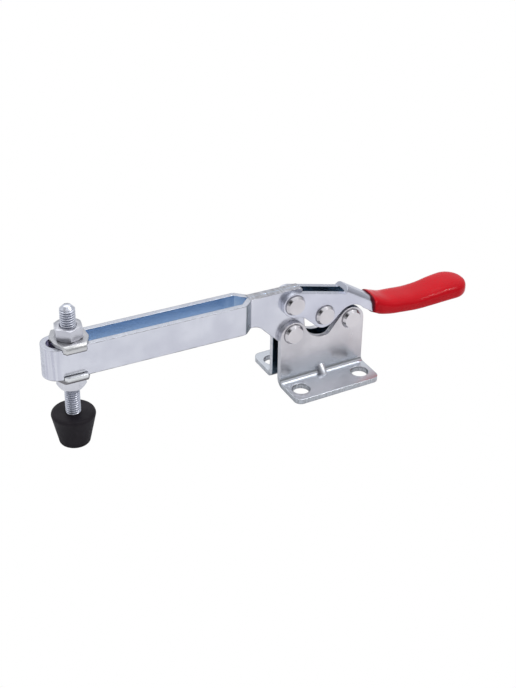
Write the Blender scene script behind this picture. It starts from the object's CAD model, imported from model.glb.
from math import cos, pi, radians, sin

import bmesh
import bpy
from mathutils import Matrix, Vector


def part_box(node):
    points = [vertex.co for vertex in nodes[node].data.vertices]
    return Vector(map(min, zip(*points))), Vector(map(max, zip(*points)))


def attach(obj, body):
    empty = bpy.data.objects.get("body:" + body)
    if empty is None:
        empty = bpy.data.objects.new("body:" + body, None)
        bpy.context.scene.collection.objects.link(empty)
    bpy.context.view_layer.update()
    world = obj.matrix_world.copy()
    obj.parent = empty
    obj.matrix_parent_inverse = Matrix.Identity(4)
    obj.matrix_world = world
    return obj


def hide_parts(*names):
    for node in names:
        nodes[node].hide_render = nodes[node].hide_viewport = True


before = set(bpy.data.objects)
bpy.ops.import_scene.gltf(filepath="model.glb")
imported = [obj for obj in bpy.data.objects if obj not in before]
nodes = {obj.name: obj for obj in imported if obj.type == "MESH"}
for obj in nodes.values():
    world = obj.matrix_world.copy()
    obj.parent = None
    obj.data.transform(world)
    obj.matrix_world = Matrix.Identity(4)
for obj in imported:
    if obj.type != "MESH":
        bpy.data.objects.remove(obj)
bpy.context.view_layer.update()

# Lengths are in metres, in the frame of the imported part
MM = 0.001

HANDLE_PIVOT = (-13.4784, 37.8462)      # X and Z, in mm
GRIP_START = 37.9                       # from the handle pivot along X, in mm
GRIP_MOUTH = (HANDLE_PIVOT[0] + GRIP_START) * MM

# Camera, as the photograph was taken
PHOTO_HEIGHT = 688            # pixels
FOCAL_PIXELS = 1197.37
SENSOR = 36.0                 # mm
CAMERA_AZIMUTH = -28.325      # degrees, 0 looks along +Y
CAMERA_ELEVATION = 32.287
CAMERA_ROLL = 0.572
CAMERA_PLACE = (-0.225017, -0.365436, 0.283390)
CAMERA_NEAREST = 0.01

# Spindle and its thread
BAR_TILT = 1.36               # degrees
SPINDLE_LENGTH = 57.7 * MM
SPINDLE_DOME = 1.5 * MM
HEAD_RADIUS = 5.0 * MM
HEAD_HEIGHT = 2.0 * MM
THREAD_RADIUS = 3.0 * MM
THREAD_PITCH = 1.0 * MM
THREAD_DEPTH = 0.6 * MM
THREAD_ROWS = 8               # rows of points to a pitch
THREAD_SEGMENTS = 48
THREAD_ROOT = 0.25            # share of the half pitch that lies at the root
THREAD_FLANK = 0.62           # share of the half pitch that the flank takes
DOME_NARROWING = 0.5          # share of the radius that the domed end loses

# Rounding that the sheared and pressed edges show in the light
EDGE_ROUND = 0.3 * MM
BASE_EDGE_ROUND = 0.5 * MM
RIVET_EDGE_ROUND = 0.1 * MM
BEVEL_SAMPLES = 12
BURR_WIDTH = 0.75 * MM
BURR_COLOR = (0.13, 0.12, 0.115, 1)


# Materials -----------------------------------------------------------------------------------------------

class Graph:
    """A node tree. An input is given by its name, or by its number after an underscore."""

    def __init__(self, tree):
        self.nodes = tree.nodes
        self.links = tree.links

    def node(self, kind, settings=(), **inputs):
        made = self.nodes.new("ShaderNode" + kind)
        for key, value in dict(settings).items():
            setattr(made, key, value)
        for key, value in inputs.items():
            socket = made.inputs[int(key[1:]) if key[1:].isdigit() else key.replace("_", " ")]
            self.put(value, socket)
        return made

    def put(self, value, socket):
        if isinstance(value, bpy.types.NodeSocket):
            self.links.new(value, socket)
        else:
            socket.default_value = value

    def math(self, operation, first, second=0.0, third=0.0):
        return self.node("Math", {"operation": operation}, _0=first, _1=second, _2=third).outputs[0]

    def measure(self, operation, first, second):
        """A number from two vectors, such as their distance or dot product."""
        return self.node("VectorMath", {"operation": operation}, _0=first, _1=second).outputs["Value"]

    def flattened(self, source, kept):
        """A vector with only the parts that are kept, as (1, 0, 1) keeps X and Z."""
        return self.node("VectorMath", {"operation": "MULTIPLY"}, _0=source, _1=kept).outputs[0]

    def axis_part(self, source, axis):
        return self.node("SeparateXYZ", _0=source).outputs["XYZ".index(axis)]

    def plain_to_camera(self, otherwise, kind, output):
        """One flat pale tone where the camera looks at it, and its own look in reflections and as light."""
        plain = self.node(kind)
        seen = self.node("LightPath").outputs["Is Camera Ray"]
        mix = self.node("MixShader", _0=seen, _1=otherwise.outputs[0], _2=plain.outputs[0])
        self.links.new(mix.outputs[0], self.nodes[output].inputs[0])


class Shader(Graph):
    """A material, built from the principled shader backwards."""

    def __init__(self, name, **values):
        self.material = bpy.data.materials.new(name)
        self.material.use_nodes = True
        super().__init__(self.material.node_tree)
        self.shader = self.nodes["Principled BSDF"]
        for socket, value in values.items():
            self.shader.inputs[socket.replace("_", " ")].default_value = value

    def place(self):
        return self.node("TexCoord").outputs["Object"]

    def own_normal(self):
        return self.node("TexCoord").outputs["Normal"]

    def noise(self, scale, detail=2.0, stretch=(1, 1, 1)):
        mapping = self.node("Mapping", _0=self.place(), _3=stretch).outputs[0]
        return self.node("TexNoise", Vector=mapping, Scale=scale, Detail=detail).outputs["Fac"]

    def ramp(self, factor, low, high):
        """A smooth rise from 0 at the low value to 1 at the high one."""
        made = self.node("MapRange", {"interpolation_type": "SMOOTHSTEP"}, _0=factor, _1=low, _2=high)
        return made.outputs[0]

    def fall(self, factor, low, high):
        return self.math("SUBTRACT", 1.0, self.ramp(factor, low, high))

    def mix(self, factor, first, second):
        """From the first colour at 0 to the second at 1."""
        return self.node("Mix", {"data_type": "RGBA"}, _0=factor, _6=first, _7=second).outputs[2]

    def between(self, factor, first, second):
        return self.math("MULTIPLY_ADD", factor, second - first, first)

    def bump(self, height, distance, strength=1.0, edge=0.0):
        made = self.node("Bump", Height=height, Distance=distance, Strength=strength)
        if edge:
            soft = self.node("Bevel", {"samples": BEVEL_SAMPLES}, Radius=edge)
            self.links.new(soft.outputs[0], made.inputs["Normal"])
        self.links.new(made.outputs[0], self.shader.inputs["Normal"])

    def near_edge(self, width):
        """1 beside an edge of the solid and 0 away from it."""
        soft = self.node("Bevel", {"samples": BEVEL_SAMPLES}, Radius=width).outputs[0]
        normal = self.node("NewGeometry").outputs["Normal"]
        return self.fall(self.measure("DOT_PRODUCT", soft, normal), 0.88, 0.995)

    def color(self, value):
        self.put(value, self.shader.inputs["Base Color"])

    def roughness(self, value):
        self.put(value, self.shader.inputs["Roughness"])


def zinc(name, light, dark, layers=(), rough=(0.22, 0.34), round_edge=EDGE_ROUND):
    """Bright zinc plate with cloudy colour and fine rolling marks, and layers of other tints over it."""
    made = Shader(name, Metallic=1.0)
    clouds = made.ramp(made.noise(70.0, 3.0), 0.35, 0.68)
    color = made.mix(clouds, light, dark)
    specks = made.ramp(made.noise(520.0, 4.0, (1, 1, 0.5)), 0.56, 0.72)
    color = made.mix(made.math("MULTIPLY", specks, 0.35), color, dark)
    roughness = made.between(made.noise(230.0, 4.0), *rough)
    for layer in layers:
        mask, tint, rougher = layer(made)
        color = made.mix(mask, color, tint)
        if rougher:
            roughness = made.math("MULTIPLY_ADD", mask, rougher, roughness)
    made.color(color)
    made.roughness(roughness)
    made.bump(made.noise(900.0, 2.0, (0.15, 1, 1)), 0.00003, 0.3, round_edge)
    return made.material


def facing(made):
    """How far the surface looks outward from the middle plane: 1 outward, -1 inward, 0 along it."""
    across = made.axis_part(made.place(), "Y")
    normal = made.axis_part(made.node("NewGeometry").outputs["Normal"], "Y")
    return made.math("MULTIPLY", made.math("SIGN", across), normal)


# The functions from here to low_down() give a layer for zinc(): where it lies, its colour, and how much
# rougher it is there

def sheared(tint=(0.46, 0.48, 0.53, 1), low=0.15, high=0.6, axis="Z", after=-1.0):
    """Streaks on the sheet's sheared edges, which look to neither side, beyond a place along an axis."""
    def layer(made):
        edge = made.fall(made.math("ABSOLUTE", facing(made)), 0.2, 0.5)
        beyond = made.math("GREATER_THAN", made.axis_part(made.place(), axis), after)
        edge = made.math("MULTIPLY", edge, beyond)
        streaks = made.ramp(made.noise(1500.0, 2.0, (1, 0.12, 1)), 0.3, 0.7)
        return made.math("MULTIPLY", edge, made.between(streaks, low, high)), tint, 0.14
    return layer


def inside(reach, tint):
    """The walls of the folded sheet that look at each other, within a distance of the middle plane."""
    def layer(made):
        inward = made.math("LESS_THAN", facing(made), -0.3)
        across = made.axis_part(made.place(), "Y")
        near = made.math("LESS_THAN", made.math("ABSOLUTE", across), reach)
        return made.math("MULTIPLY", inward, near), tint, 0.0
    return layer


def burr(strength):
    """A dark broken line along the edges of the outward faces."""
    def layer(made):
        outward = made.ramp(facing(made), 0.4, 0.8)
        line = made.math("MULTIPLY", made.near_edge(BURR_WIDTH), outward)
        broken = made.between(made.ramp(made.noise(420.0, 3.0), 0.34, 0.6), 0.25 * strength, strength)
        return made.math("MULTIPLY", line, broken), BURR_COLOR, 0.3
    return layer


def band(axis, start, end, tint, strength, soft=0.3 * MM):
    """A tint on the outward faces between two places along an axis."""
    def layer(made):
        along = made.axis_part(made.place(), axis)
        rise = made.ramp(along, start - soft, start + soft)
        mask = made.math("MULTIPLY", rise, made.fall(along, end - soft, end + soft))
        mask = made.math("MULTIPLY", mask, made.math("GREATER_THAN", facing(made), 0.2))
        return made.math("MULTIPLY", mask, strength), tint, 0.0
    return layer


def upright_streaks(before):
    """Faint drawn lines that stand upright, ahead of a place along X."""
    def layer(made):
        zone = made.fall(made.axis_part(made.place(), "X"), before, before + STREAKS_FADE)
        lines = made.ramp(made.noise(1000.0, 3.0, (1, 1, 0.02)), 0.45, 0.7)
        return made.math("MULTIPLY", made.math("MULTIPLY", zone, lines), 0.5), (0.46, 0.46, 0.56, 1), 0.05
    return layer


def rivet_rings(*names):
    """A dark line on the outward face round each rivet's head."""
    def layer(made):
        flat = made.flattened(made.place(), (1, 0, 1))
        total = None
        for name in names:
            low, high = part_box(name)
            centre = ((low.x + high.x) / 2, 0, (low.z + high.z) / 2)
            reach = made.measure("DISTANCE", flat, centre)
            ring = made.fall(reach, RIVET_RADIUS + RING_START, RIVET_RADIUS + RING_END)
            total = ring if total is None else made.math("MAXIMUM", total, ring)
        outward = made.math("GREATER_THAN", facing(made), 0.5)
        dark = made.math("MULTIPLY", made.math("MULTIPLY", total, outward), 0.75)
        return dark, (0.12, 0.12, 0.14, 1), 0.2
    return layer


def fold_inside(tint):
    """The hollow side of the round front of the slot."""
    def layer(made):
        reach = made.measure("DISTANCE", made.flattened(made.place(), (1, 1, 0)), (*FOLD_CENTRE, 0))
        hollow = made.math("LESS_THAN", reach, FOLD_INSIDE)
        ahead = made.math("LESS_THAN", made.axis_part(made.place(), "X"), FOLD_END)
        walls = made.math("LESS_THAN", made.math("ABSOLUTE", made.axis_part(made.own_normal(), "Z")), 0.5)
        return made.math("MULTIPLY", made.math("MULTIPLY", hollow, ahead), walls), tint, 0.1
    return layer


def undersides(tint, strength):
    """A tint on what looks down when the clamp is at rest."""
    def layer(made):
        down = made.math("SUBTRACT", 0.0, made.axis_part(made.own_normal(), "Z"))
        return made.math("MULTIPLY", made.ramp(down, 0.05, 0.55), strength), tint, 0.1
    return layer


def tops(tint, strength):
    """A tint on what looks straight up when the clamp is at rest."""
    def layer(made):
        level = made.ramp(made.axis_part(made.own_normal(), "Z"), 0.9, 0.98)
        return made.math("MULTIPLY", level, strength), tint, 0.1
    return layer


def bends(tint, strength):
    """A tint where the surface turns between a foot and its upright."""
    def layer(made):
        normal = made.own_normal()
        sideways = made.math("ABSOLUTE", made.axis_part(normal, "Y"))
        turning = made.math("MULTIPLY", sideways, made.axis_part(normal, "Z"))
        return made.math("MULTIPLY", made.ramp(turning, 0.2, 0.42), strength), tint, 0.24
    return layer


def foot_rim():
    """Upright shear marks round the rim of the foot."""
    def layer(made):
        low = made.math("LESS_THAN", made.axis_part(made.place(), "Z"), FOOT_TOP)
        steep = made.math("LESS_THAN", made.math("ABSOLUTE", made.axis_part(made.own_normal(), "Z")), 0.4)
        marks = made.ramp(made.noise(1300.0, 3.0, (1, 1, 0.15)), 0.35, 0.7)
        mask = made.math("MULTIPLY", made.math("MULTIPLY", low, steep), made.between(marks, 0.1, 0.6))
        return mask, (0.36, 0.37, 0.38, 1), 0.1
    return layer


def lip_shade(node, reach, strength):
    """A dark line along the bottom of a washer, square to the bar."""
    def layer(made):
        tilt = radians(BAR_TILT)
        upward = (sin(tilt), 0, cos(tilt))
        height = made.measure("DOT_PRODUCT", made.place(), upward)
        low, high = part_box(node)
        bottom = (low.x + high.x) / 2 * upward[0] + low.z * upward[2]
        line = made.fall(height, bottom + reach * 0.6, bottom + reach * 1.2)
        return made.math("MULTIPLY", line, strength), (0.16, 0.15, 0.16, 1), 0.2
    return layer


def low_down(top, soft, tint):
    """A tint below a height."""
    def layer(made):
        height = made.axis_part(made.place(), "Z")
        return made.fall(height, top - soft, top + soft), tint, 0.0
    return layer


RIVET_RADIUS = 4.35 * MM
RING_START, RING_END = 0.05 * MM, 0.38 * MM     # of the dark line, beyond the rivet's head
FOOT_TOP = 2.15 * MM
FOOT_FADE = 7 * MM                  # the foot's colour reaches this high, and fades over as much each way
JOGGLE = (-36.6 * MM, -33.0 * MM)   # along X
STREAKS_END = -115.5 * MM           # along X
STREAKS_FADE = 7 * MM
FOLD_CENTRE = (-113.5 * MM, 0)      # X and Y of the round front of the slot
FOLD_INSIDE = 3.9 * MM + 0.12 * MM
FOLD_END = FOLD_CENTRE[0] + 1.5 * MM
SLOT_HALF_WIDTH = 4.2 * MM
PLATES_HALF_GAP = 2.6 * MM
LIGHT_ZINC = (0.745, 0.75, 0.81, 1)
DARK_ZINC = (0.645, 0.65, 0.72, 1)
PINKISH_LIGHT = (0.74, 0.715, 0.735, 1)
PINKISH_DARK = (0.62, 0.60, 0.625, 1)
SLOT_BLUE = (0.50, 0.62, 0.78, 1)
DEEP_BLUE = (0.24, 0.33, 0.42, 1)
FOOT_GREEN = (0.635, 0.66, 0.705, 1)

bar_zinc = zinc(
    "bar_zinc", LIGHT_ZINC, DARK_ZINC,
    (sheared(),
     sheared((0.30, 0.29, 0.30, 1), 0.35, 0.85, "X", JOGGLE[1]),
     inside(SLOT_HALF_WIDTH, SLOT_BLUE),
     fold_inside((0.6, 0.52, 0.74, 1)),
     band("X", *JOGGLE, (0.22, 0.29, 0.32, 1), 0.8),
     upright_streaks(STREAKS_END),
     burr(0.95)),
    rough=(0.18, 0.3))
handle_zinc = zinc(
    "handle_zinc", (0.715, 0.72, 0.80, 1), (0.62, 0.625, 0.71, 1),
    (sheared((0.50, 0.53, 0.60, 1)),
     inside(PLATES_HALF_GAP, DEEP_BLUE),
     rivet_rings("rivet_bar_to_handle", "rivet_handle_to_link"),
     burr(0.35)),
    rough=(0.18, 0.3))
base_zinc = zinc(
    "base_zinc", PINKISH_LIGHT, PINKISH_DARK,
    (low_down(FOOT_FADE, FOOT_FADE, FOOT_GREEN),
     sheared(after=2.4 * MM),
     inside(PLATES_HALF_GAP, DEEP_BLUE),
     rivet_rings("rivet_base_to_bar", "rivet_base_to_link"),
     foot_rim(),
     bends((0.2, 0.205, 0.22, 1), 0.78)),
    rough=(0.2, 0.3), round_edge=BASE_EDGE_ROUND)
rib_zinc = zinc("rib_zinc", (0.80, 0.80, 0.84, 1), (0.68, 0.69, 0.73, 1), rough=(0.34, 0.44), round_edge=0)
link_zinc = zinc("link_zinc", PINKISH_LIGHT, PINKISH_DARK, (sheared(),))
rivet_zinc = zinc("rivet_zinc", (0.76, 0.73, 0.745, 1), (0.66, 0.63, 0.65, 1), rough=(0.12, 0.22),
                  round_edge=RIVET_EDGE_ROUND)
washer_zinc = {
    "upper": zinc(
        "upper_washer_zinc", (0.72, 0.71, 0.70, 1), (0.57, 0.57, 0.575, 1),
        (tops((0.42, 0.42, 0.45, 1), 0.7),
         undersides((0.22, 0.21, 0.22, 1), 0.9),
         lip_shade("upper_flanged_washer", 0.62 * MM, 0.95)),
        rough=(0.3, 0.42), round_edge=0),
    "lower": zinc(
        "lower_washer_zinc", (0.84, 0.85, 0.85, 1), (0.74, 0.75, 0.76, 1),
        (undersides((0.22, 0.21, 0.22, 1), 0.9),
         lip_shade("lower_flanged_washer", 2.1 * MM, 0.85)),
        rough=(0.3, 0.42), round_edge=0),
}
nut_zinc = zinc(
    "nut_zinc", (0.72, 0.72, 0.76, 1), (0.60, 0.60, 0.65, 1),
    (tops((0.46, 0.46, 0.49, 1), 0.7),
     undersides((0.2, 0.2, 0.22, 1), 0.8)),
    rough=(0.24, 0.34), round_edge=0)


def thread_zinc():
    """Zinc on the thread: bright crests and dark, dull roots."""
    made = Shader("thread_zinc", Metallic=1.0)
    parts = made.node("SeparateXYZ", _0=made.place())
    square = made.math("MULTIPLY", parts.outputs[0], parts.outputs[0])
    radius = made.math("SQRT", made.math("MULTIPLY_ADD", parts.outputs[1], parts.outputs[1], square))
    crest = made.ramp(radius, THREAD_RADIUS - THREAD_DEPTH, THREAD_RADIUS - THREAD_DEPTH / 5)
    dome_start = SPINDLE_LENGTH - SPINDLE_DOME
    crest = made.math("MAXIMUM", crest, made.ramp(parts.outputs[2], dome_start - 0.4 * MM, dome_start))
    clouds = made.ramp(made.noise(400.0, 3.0), 0.3, 0.7)
    bright = made.mix(clouds, (0.78, 0.79, 0.86, 1), (0.66, 0.67, 0.74, 1))
    made.color(made.mix(crest, (0.30, 0.32, 0.39, 1), bright))
    made.roughness(made.between(crest, 0.45, 0.34))
    return made.material


def red_vinyl():
    """Glossy dipped vinyl, darker along the lip at its mouth."""
    made = Shader("red_vinyl", Specular_IOR_Level=0.12)
    clouds = made.ramp(made.noise(45.0, 3.0), 0.3, 0.7)
    red = made.mix(clouds, (0.60, 0.006, 0.014, 1), (0.51, 0.005, 0.012, 1))
    lip = made.ramp(made.axis_part(made.place(), "X"), GRIP_MOUTH, GRIP_MOUTH + 0.9 * MM)
    made.color(made.mix(lip, (0.16, 0.004, 0.012, 1), red))
    made.roughness(made.between(made.noise(160.0, 3.0), 0.12, 0.2))
    made.bump(made.noise(110.0, 2.0), 0.0002, 0.3)
    return made.material


def black_rubber():
    made = Shader("black_rubber", Specular_IOR_Level=0.2)
    clouds = made.ramp(made.noise(120.0, 4.0), 0.35, 0.65)
    made.color(made.mix(clouds, (0.013, 0.010, 0.014, 1), (0.020, 0.016, 0.020, 1)))
    made.roughness(made.between(made.noise(400.0, 3.0), 0.5, 0.68))
    made.bump(made.noise(1400.0, 3.0), 0.00005, 0.4)
    return made.material


def paint(piece, material):
    piece.data.materials.clear()
    piece.data.materials.append(material)


def in_scene(name, data):
    made = bpy.data.objects.new(name, data)
    bpy.context.scene.collection.objects.link(made)
    return made


paint(nodes["clamping_bar"], bar_zinc)
paint(nodes["handle"], handle_zinc)
paint(nodes["rubber_tip"], black_rubber())
for side in ("left", "right"):
    paint(nodes["base_bracket_" + side], base_zinc)
    paint(nodes["link_plate_" + side], link_zinc)
for name in nodes:
    if name.startswith("rivet_"):
        paint(nodes[name], rivet_zinc)


# Washers and nuts, with the rounded edges of pressed and tumbled pieces ----------------------------------

LIP_START = 5.7 * MM          # from the middle plane, where the washers' lips stand beside the bar
LIP_SPREAD = 0.3 * MM
WASHER_ROUNDING = 0.6 * MM
NUT_ROUNDING = 0.16 * MM
ROUNDING_STEPS = 3
SHARPEST_SMOOTH = radians(32)
LEAST_ROUNDED = radians(35)


def softened(node, body, width, material, spread=0.0):
    """The node's shape with rounded edges, and its lips spread a little from the middle plane."""
    mesh = nodes[node].data.copy()
    mesh.materials.clear()
    mesh.materials.append(material)
    for vertex in mesh.vertices:
        if abs(vertex.co.y) > LIP_START:
            vertex.co.y += spread if vertex.co.y > 0 else -spread
    work = in_scene(node + "_work", mesh)
    tool = bmesh.new()
    tool.from_mesh(mesh)
    bmesh.ops.remove_doubles(tool, verts=tool.verts, dist=1e-6)
    bmesh.ops.dissolve_limit(tool, angle_limit=radians(1), verts=tool.verts, edges=tool.edges)
    tool.to_mesh(mesh)
    tool.free()
    bevel = work.modifiers.new("round", "BEVEL")
    bevel.width = width
    bevel.segments = ROUNDING_STEPS
    bevel.limit_method = "ANGLE"
    bevel.angle_limit = LEAST_ROUNDED
    shape = bpy.data.meshes.new_from_object(work.evaluated_get(bpy.context.evaluated_depsgraph_get()))
    bpy.data.objects.remove(work)
    shape.shade_smooth()
    shape.set_sharp_from_angle(angle=SHARPEST_SMOOTH)
    piece = in_scene(node + "_rounded", shape)
    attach(piece, body)
    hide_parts(node)


for side in ("upper", "lower"):
    softened(side + "_flanged_washer", "washers", WASHER_ROUNDING, washer_zinc[side], LIP_SPREAD)
    softened(side + "_hex_nut", side + "_nut", NUT_ROUNDING, nut_zinc)


# A pressed rib across the bend of each foot ---------------------------------------------------------------

# In mm
RIB_CORNER = (4.5, 2.2)       # Y and Z where the +Y bracket's outer face meets the top of its foot
RIB_DEPTH = 1.75              # from that corner to the middle of the rib
RIB_HALF = (1.6, 4.2, 1.0)    # across, along its slope and out from the bend
RIB_LEAST = (2.7, 0.4)        # least Y and Z, so that it stays inside the sheet
RIB_RINGS = (40, 24)


def pressed_rib(side, name):
    """A rounded mound over the plain gusset of the CAD bracket, on the side 1 or -1 of the middle plane."""
    mesh = bpy.data.meshes.new(name)
    tool = bmesh.new()
    bmesh.ops.create_uvsphere(tool, u_segments=RIB_RINGS[0], v_segments=RIB_RINGS[1], radius=1.0)
    for vertex in tool.verts:
        x, y, z = vertex.co
        widest = (x * x + y * y) ** 0.5
        if z < -0.01 and widest > 0.01:       # below its widest, the mound goes straight down into the bend
            x, y = x / widest, y / widest
        along, out = y * RIB_HALF[1], RIB_DEPTH + z * RIB_HALF[2]
        across = max(RIB_CORNER[0] + (out + along) / 2 ** 0.5, RIB_LEAST[0])
        height = max(RIB_CORNER[1] + (out - along) / 2 ** 0.5, RIB_LEAST[1])
        vertex.co = (x * RIB_HALF[0] * MM, side * across * MM, height * MM)
    bmesh.ops.recalc_face_normals(tool, faces=tool.faces)
    tool.to_mesh(mesh)
    tool.free()
    mesh.shade_smooth()
    mesh.materials.append(rib_zinc)
    piece = in_scene(name, mesh)
    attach(piece, "base")


pressed_rib(1, "bend_rib_left")
pressed_rib(-1, "bend_rib_right")


# The spindle with its thread ----------------------------------------------------------------------------

def spindle_surface(turn, z):
    """The spindle's radius at a height, where turn is the angle as a share of a full turn."""
    if z < HEAD_HEIGHT:
        return HEAD_RADIUS
    phase = (z / THREAD_PITCH - turn) % 1.0
    climb = abs(2 * phase - 1)                        # 0 in the middle of the root, 1 on the crest
    groove = min(max((climb - THREAD_ROOT) / THREAD_FLANK, 0.0), 1.0)
    radius = THREAD_RADIUS - THREAD_DEPTH * (1 - groove)
    dome = max(z - (SPINDLE_LENGTH - SPINDLE_DOME), 0) / SPINDLE_DOME
    return min(radius, THREAD_RADIUS * (1 - dome * DOME_NARROWING))


def lathe(name, surface, length, steps, segments, to_world):
    """A solid round its own +Z from a radius for each turn and height, closed to a point at both ends."""
    verts, faces = [(0, 0, 0)], []
    for row in range(steps + 1):
        z = length * row / steps
        for k in range(segments):
            radius, angle = surface(k / segments, z), 2 * pi * k / segments
            verts.append((radius * cos(angle), radius * sin(angle), z))
    verts.append((0, 0, length))
    tip = len(verts) - 1
    for k in range(segments):
        after = (k + 1) % segments
        faces.append((0, 1 + after, 1 + k))
        faces.append((tip, tip - segments + k, tip - segments + after))
        for row in range(steps):
            low = 1 + row * segments
            faces.append((low + k, low + after, low + segments + after, low + segments + k))
    mesh = bpy.data.meshes.new(name)
    mesh.from_pydata(verts, [], faces)
    mesh.shade_smooth()
    piece = in_scene(name, mesh)
    piece.matrix_world = to_world
    return piece


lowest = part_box("threaded_spindle")[0]
tilt = radians(BAR_TILT)
# The head's rim has the CAD spindle's lowest and leftmost points, which give the middle of its underside
foot = Vector((lowest.x + HEAD_RADIUS * cos(tilt), 0, lowest.z + HEAD_RADIUS * sin(tilt)))
threaded = lathe("spindle_with_thread", spindle_surface, SPINDLE_LENGTH,
                 round(SPINDLE_LENGTH / THREAD_PITCH * THREAD_ROWS), THREAD_SEGMENTS,
                 Matrix.Translation(foot) @ Matrix.Rotation(tilt, 4, "Y"))
threaded.data.materials.append(thread_zinc())
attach(threaded, "spindle")
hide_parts("threaded_spindle")


# The grip, round in section where the CAD sleeve has flats ----------------------------------------------

# In mm: along X and height of the middle, both from the handle pivot, then half width and half depth
GRIP_STATIONS = [
    (GRIP_START, -10.1, 5.7, 4.25),
    (41.5, -11.6, 6.9, 4.2),
    (46.5, -13.0, 7.25, 3.75),
    (52.5, -13.65, 7.55, 3.65),
    (59.5, -14.3, 7.65, 3.65),
    (66.5, -14.2, 7.65, 3.85),
    (73.5, -13.6, 8.1, 4.1),
    (79.5, -13.3, 8.5, 4.1),
]
GRIP_END = 87.5
GRIP_TIP_GAP = 0.004          # keeps the last ring from closing to a point
GRIP_LIP = 0.5                # radius of the rounded mouth
GRIP_LIP_STEPS = 4
GRIP_POWER = 2.8              # 2 is an ellipse
GRIP_RING = 64
GRIP_ROWS = 90
GRIP_CROWDING = 0.9           # how the rows close up toward the rounded end


def smooth_between(points, x):
    """Each value of the stations at x, on a curve through them (Catmull-Rom)."""
    k = max(i for i in range(len(points) - 1) if i == 0 or points[i][0] <= x)
    before, first, second, after = (points[min(max(k + i, 0), len(points) - 1)] for i in (-1, 0, 1, 2))
    t = (x - first[0]) / (second[0] - first[0])
    values = []
    for a, b, c, d in zip(before[1:], first[1:], second[1:], after[1:]):
        values.append(b + 0.5 * t * (c - a + t * (2 * a - 5 * b + 4 * c - d + t * (3 * (b - c) + d - a))))
    return values


def grip_ring(x):
    """Height, half width and half depth of the grip at x, in mm."""
    last = GRIP_STATIONS[-1]
    height, width, depth = smooth_between(GRIP_STATIONS, min(x, last[0]))
    if x > last[0]:
        share = (x - last[0]) / (GRIP_END - last[0])
        width *= (1 - share ** 2) ** 0.5
        depth *= (1 - share ** 2) ** 0.25
    return height, width, depth


def swollen(part):
    """The cosine or sine of a superellipse, from that of a circle."""
    return abs(part) ** (2 / GRIP_POWER) * (1 if part >= 0 else -1)


def grip():
    """The dipped vinyl, closed over its mouth, where a lip rolls in over a quarter turn."""
    verts, faces = [], []
    rings = []                                           # place along X and how far the ring is drawn in
    for step in reversed(range(GRIP_LIP_STEPS + 1)):
        angle = pi / 2 * step / GRIP_LIP_STEPS
        rings.append((GRIP_START + GRIP_LIP * (1 - sin(angle)), GRIP_LIP * (1 - cos(angle))))
    for row in range(GRIP_ROWS + 1):
        share = row / GRIP_ROWS
        x = GRIP_START + GRIP_LIP + (GRIP_END - GRIP_START - GRIP_LIP) * sin(pi / 2 * share) ** GRIP_CROWDING
        rings.append((min(x, GRIP_END - GRIP_TIP_GAP), 0.0))
    for x, inset in rings:
        height, width, depth = grip_ring(x)
        for k in range(GRIP_RING):
            angle = 2 * pi * k / GRIP_RING
            y = swollen(cos(angle)) * (width - inset)
            z = swollen(sin(angle)) * (depth - inset)
            verts.append(((HANDLE_PIVOT[0] + x) * MM, y * MM, (HANDLE_PIVOT[1] + height + z) * MM))
    for row in range(len(rings) - 1):
        for k in range(GRIP_RING):
            a, b = row * GRIP_RING + k, row * GRIP_RING + (k + 1) % GRIP_RING
            faces.append((a, b, b + GRIP_RING, a + GRIP_RING))
    faces.append(tuple(range(len(verts) - GRIP_RING, len(verts))))
    faces.append(tuple(range(GRIP_RING))[::-1])
    mesh = bpy.data.meshes.new("vinyl_grip")
    mesh.from_pydata(verts, [], faces)
    mesh.shade_smooth()
    piece = in_scene("vinyl_grip", mesh)
    mesh.materials.append(red_vinyl())
    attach(piece, "handle")
    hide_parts("handle_grip")


grip()


# Floor, light and camera --------------------------------------------------------------------------------

FLOOR_REACH = 4.0
FLOOR_HEIGHT = -0.2 * MM
DARK_SIDE = Vector((-0.72, -0.26, 0.65)).normalized()
LIGHTS = [                    # name, place, aim, width and height, watts
    ("key", (0.36, -0.42, 0.72), (0, 0, 0.02), (0.3, 0.24), 1.1),
    ("spark", (0.42, -0.33, 0.80), (0.04, 0, 0.02), (0.04, 0.04), 0.4),
    ("overhead", (-0.1, 0.3, 0.95), (0, 0, 0), (1.1, 0.8), 3.0),
]


def backdrop():
    """A pale floor that is plain white to the camera and lights the metal from below."""
    mesh = bpy.data.meshes.new("floor")
    corners = ((-1, -1), (1, -1), (1, 1), (-1, 1))
    verts = [(x * FLOOR_REACH, y * FLOOR_REACH, FLOOR_HEIGHT) for x, y in corners]
    mesh.from_pydata(verts, [], [(0, 1, 2, 3)])
    floor = in_scene("floor", mesh)
    made = Shader("floor", Roughness=0.9)
    made.color((0.82, 0.82, 0.83, 1))
    made.plain_to_camera(made.shader, "Emission", "Material Output")
    mesh.materials.append(made.material)


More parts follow.
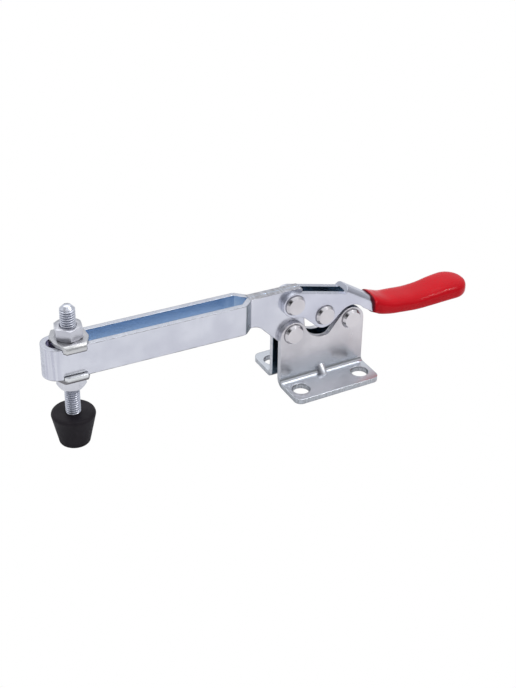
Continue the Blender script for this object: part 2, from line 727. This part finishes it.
def softbox(name, place, aim, size, power):
    data = bpy.data.lights.new(name, "AREA")
    data.shape = "RECTANGLE"
    data.size, data.size_y = size
    data.energy = power
    light = in_scene(name, data)
    light.location = place
    light.rotation_euler = (Vector(aim) - Vector(place)).to_track_quat("-Z", "Y").to_euler()


def surroundings():
    """A soft grey room, brighter overhead and behind the clamp, and flat pale grey to the camera."""
    world = bpy.data.worlds.new("room")
    bpy.context.scene.world = world
    world.use_nodes = True
    made = Graph(world.node_tree)
    room = made.nodes["Background"]
    room.inputs["Color"].default_value = (0.93, 0.96, 1.0, 1)
    direction = made.node("TexCoord").outputs["Generated"]
    overhead = made.node("MapRange", _0=made.axis_part(direction, "Z"), _1=0.2, _2=0.95, _3=0.0, _4=0.55)
    behind = made.node("MapRange", _0=made.axis_part(direction, "Y"), _1=-0.6, _2=0.7, _3=0.32, _4=0.66)
    total = made.math("ADD", overhead.outputs[0], behind.outputs[0])
    # A dark patch to the upper left, which the bevelled rivet heads and nuts reflect
    toward = made.measure("DOT_PRODUCT", direction, DARK_SIDE)
    shade = made.node("MapRange", _0=toward, _1=0.89, _2=0.98, _3=1.0, _4=0.05)
    made.put(made.math("MULTIPLY", total, shade.outputs[0]), room.inputs["Strength"])
    made.plain_to_camera(room, "Background", "World Output")


backdrop()
surroundings()
for light in LIGHTS:
    softbox(*light)

azimuth, elevation, roll = (radians(v) for v in (CAMERA_AZIMUTH, CAMERA_ELEVATION, CAMERA_ROLL))
back = Vector((sin(azimuth) * cos(elevation), -cos(azimuth) * cos(elevation), sin(elevation)))
level = Vector((0, 0, 1)).cross(back).normalized()
upward = back.cross(level)
right = level * cos(roll) + upward * sin(roll)
up = upward * cos(roll) - level * sin(roll)
lens = bpy.data.cameras.new("camera")
lens.sensor_fit = "VERTICAL"
lens.sensor_height = SENSOR
lens.lens = FOCAL_PIXELS / PHOTO_HEIGHT * SENSOR
lens.clip_start = CAMERA_NEAREST
camera = in_scene("camera", lens)
camera.matrix_world = Matrix.Translation(CAMERA_PLACE) @ Matrix((right, up, back)).transposed().to_4x4()
bpy.context.scene.camera = camera
bpy.context.scene.view_settings.view_transform = "Standard"
